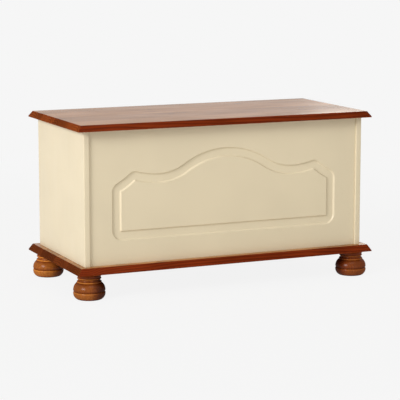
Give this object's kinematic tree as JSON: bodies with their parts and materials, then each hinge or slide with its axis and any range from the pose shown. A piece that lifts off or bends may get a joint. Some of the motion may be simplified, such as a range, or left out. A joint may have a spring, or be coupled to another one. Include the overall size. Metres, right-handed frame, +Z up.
{
  "type": "blanket chest",
  "caption": "Painted blanket chest with a routed arched front, stained pine base and lid, turned bun feet, butt hinges and slotted lid stays.",
  "frame": {"origin": "middle of the footprint, on the floor", "axes": "+X along the chest's length to its right as seen from the front, +Y to its back, +Z up"},
  "size_m": [0.84, 0.4, 0.4465],
  "materials": {
    "cream_paint": "satin cream paint on board",
    "stained_pine": "red-brown stain under satin lacquer",
    "turned_pine": "golden-brown stain under satin lacquer",
    "plain_pine": "clear lacquer",
    "beech": "bare",
    "brassed_steel": "brass-plated, satin",
    "zinc_steel": "bright zinc plating"
  },
  "bodies": {
    "case": {"base_stave_1": "stained_pine", "base_stave_2": "stained_pine", "base_stave_3": "stained_pine", "base_stave_4": "stained_pine", "foot_front_left": "turned_pine", "foot_front_right": "turned_pine", "foot_back_left": "turned_pine", "foot_back_right": "turned_pine", "side_panel_left": "cream_paint", "side_panel_right": "cream_paint", "front_panel": "cream_paint", "back_panel": "cream_paint", "base_dowels": "beech", "corner_dowels": "beech", "hinge_case_leaf_left": "brassed_steel", "hinge_case_leaf_right": "brassed_steel", "hinge_pin_left": "brassed_steel", "hinge_pin_right": "brassed_steel", "hinge_case_screws": "brassed_steel", "foot_bolts": "zinc_steel", "base_screws": "zinc_steel", "cam_bolts": "zinc_steel", "cam_locks": "zinc_steel", "stay_stud_left": "zinc_steel", "stay_stud_right": "zinc_steel", "stay_stud_screws": "zinc_steel"},
    "lid": {"lid_stave_1": "stained_pine", "lid_stave_2": "stained_pine", "lid_stave_3": "stained_pine", "lid_stave_4": "stained_pine", "lid_batten_left": "plain_pine", "lid_batten_right": "plain_pine", "batten_screws": "zinc_steel", "hinge_lid_leaf_left": "brassed_steel", "hinge_lid_leaf_right": "brassed_steel", "hinge_lid_screws": "brassed_steel", "stay_bracket_left": "zinc_steel", "stay_bracket_right": "zinc_steel", "stay_bracket_screws": "zinc_steel", "stay_rivet_left": "zinc_steel", "stay_rivet_right": "zinc_steel"},
    "stay_arm_left": {"stay_arm_left": "zinc_steel"},
    "stay_arm_right": {"stay_arm_right": "zinc_steel"}
  },
  "joints": [
    {"name": "lid_hinge", "type": "hinge", "parent": "case", "child": "lid", "pos_m": [0, 0.1792, 0.4305], "axis": [-1, 0, 0], "range_deg": [0, 95]},
    {"name": "stay_pivot_left", "type": "hinge", "parent": "lid", "child": "stay_arm_left", "pos_m": [-0.3767, 0.02953, 0.4205], "axis": [-1, 0, 0], "range_deg": [-47.5, 0]},
    {"name": "stay_pivot_right", "type": "hinge", "parent": "lid", "child": "stay_arm_right", "pos_m": [0.3767, 0.02953, 0.4205], "axis": [-1, 0, 0], "range_deg": [-47.5, 0]}
  ],
  "couplings": [
    {"joint": "stay_pivot_left", "follows": "lid_hinge", "ratio": -0.5},
    {"joint": "stay_pivot_right", "follows": "lid_hinge", "ratio": -0.5}
  ]
}
